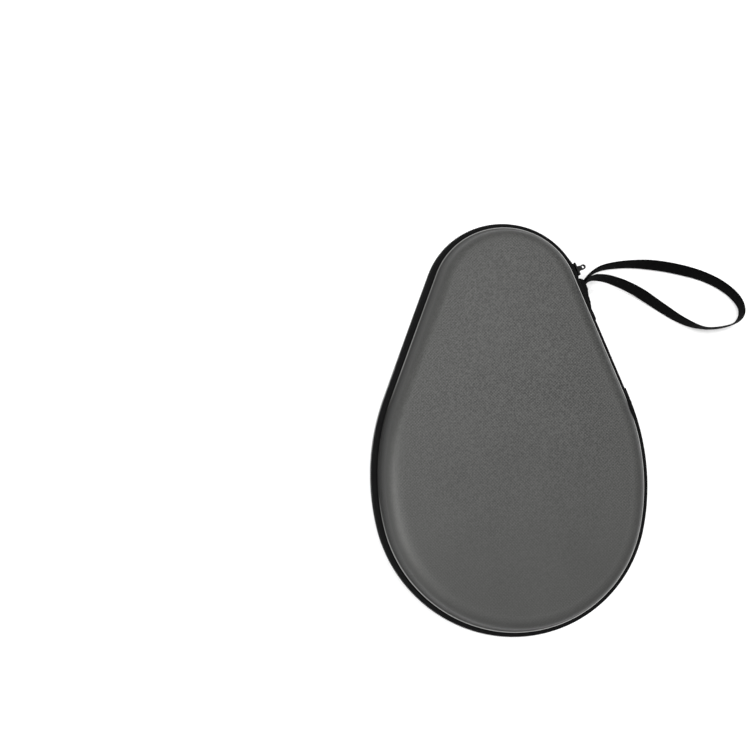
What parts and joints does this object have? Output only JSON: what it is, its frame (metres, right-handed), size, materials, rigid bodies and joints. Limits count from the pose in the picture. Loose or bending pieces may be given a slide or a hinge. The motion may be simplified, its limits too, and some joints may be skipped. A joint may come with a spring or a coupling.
{
  "type": "table tennis bat case",
  "caption": "Hard-shell drop-shaped case for a table tennis bat: two moulded halves on a fabric hinge, closed by a zip, with a webbing wrist strap.",
  "frame": {"origin": "centre of the footprint on the surface that the case lies on, back shell down", "axes": "+Y along the case to its narrow handle end, +Z through its thickness from the back shell to the lid, +X to the fabric hinge and wrist strap"},
  "size_m": [0.2931, 0.3004, 0.048],
  "materials": {
    "grey_skin": "fine-grained satin laminate",
    "foam": "closed-cell EVA foam",
    "lining": "knitted lining",
    "zip_tape": "woven zip tape",
    "coil": "nylon coil",
    "binding": "woven binding tape",
    "thread": "polyester thread",
    "mesh": "knitted mesh",
    "elastic": "woven elastic",
    "webbing": "ribbed webbing",
    "black_metal": "black lacquered zinc"
  },
  "bodies": {
    "base": {"base_outer_skin": "grey_skin", "base_foam_shell": "foam", "base_lining": "lining", "base_zip_tape": "zip_tape", "base_zip_coil": "coil", "base_zip_stops": "black_metal", "base_zip_end_patches": "zip_tape", "base_hinge_strip": "zip_tape", "base_hinge_lining": "binding", "base_rim_binding": "binding", "base_seam_stitches": "thread", "handle_band": "elastic", "handle_band_tabs": "elastic", "zip_guard_flap": "zip_tape", "zip_tail": "zip_tape", "strap_anchor": "webbing", "strap_bar_tacks": "thread", "wrist_strap": "webbing"},
    "lid": {"lid_outer_skin": "grey_skin", "lid_foam_shell": "foam", "lid_lining": "lining", "lid_zip_tape": "zip_tape", "lid_zip_coil": "coil", "lid_zip_stops": "black_metal", "lid_zip_end_patches": "zip_tape", "lid_hinge_strip": "zip_tape", "lid_hinge_lining": "binding", "lid_rim_binding": "binding", "lid_seam_stitches": "thread", "lid_pocket_mesh": "mesh", "lid_pocket_hem": "elastic"},
    "slider": {"slider_body": "black_metal", "slider_pin": "black_metal"},
    "pull": {"pull_tab": "black_metal"}
  },
  "joints": [
    {"name": "lid_fold", "type": "hinge", "parent": "base", "child": "lid", "pos_m": [0.05558, 0.11153, 0.024], "axis": [-0.3486, 0.9373, 0], "range_deg": [0, 180], "deforming": ["wrist_strap", "zip_tail"]},
    {"name": "slider_run", "type": "hinge", "parent": "base", "child": "slider", "pos_m": [0, 0.09086, 0.024], "axis": [0, 0, 1], "range_deg": [0, 134]},
    {"name": "pull_swing", "type": "hinge", "parent": "slider", "child": "pull", "pos_m": [0.0577, 0.11513, 0.024], "axis": [0, 0, 1], "range_deg": [-60, 60]}
  ]
}
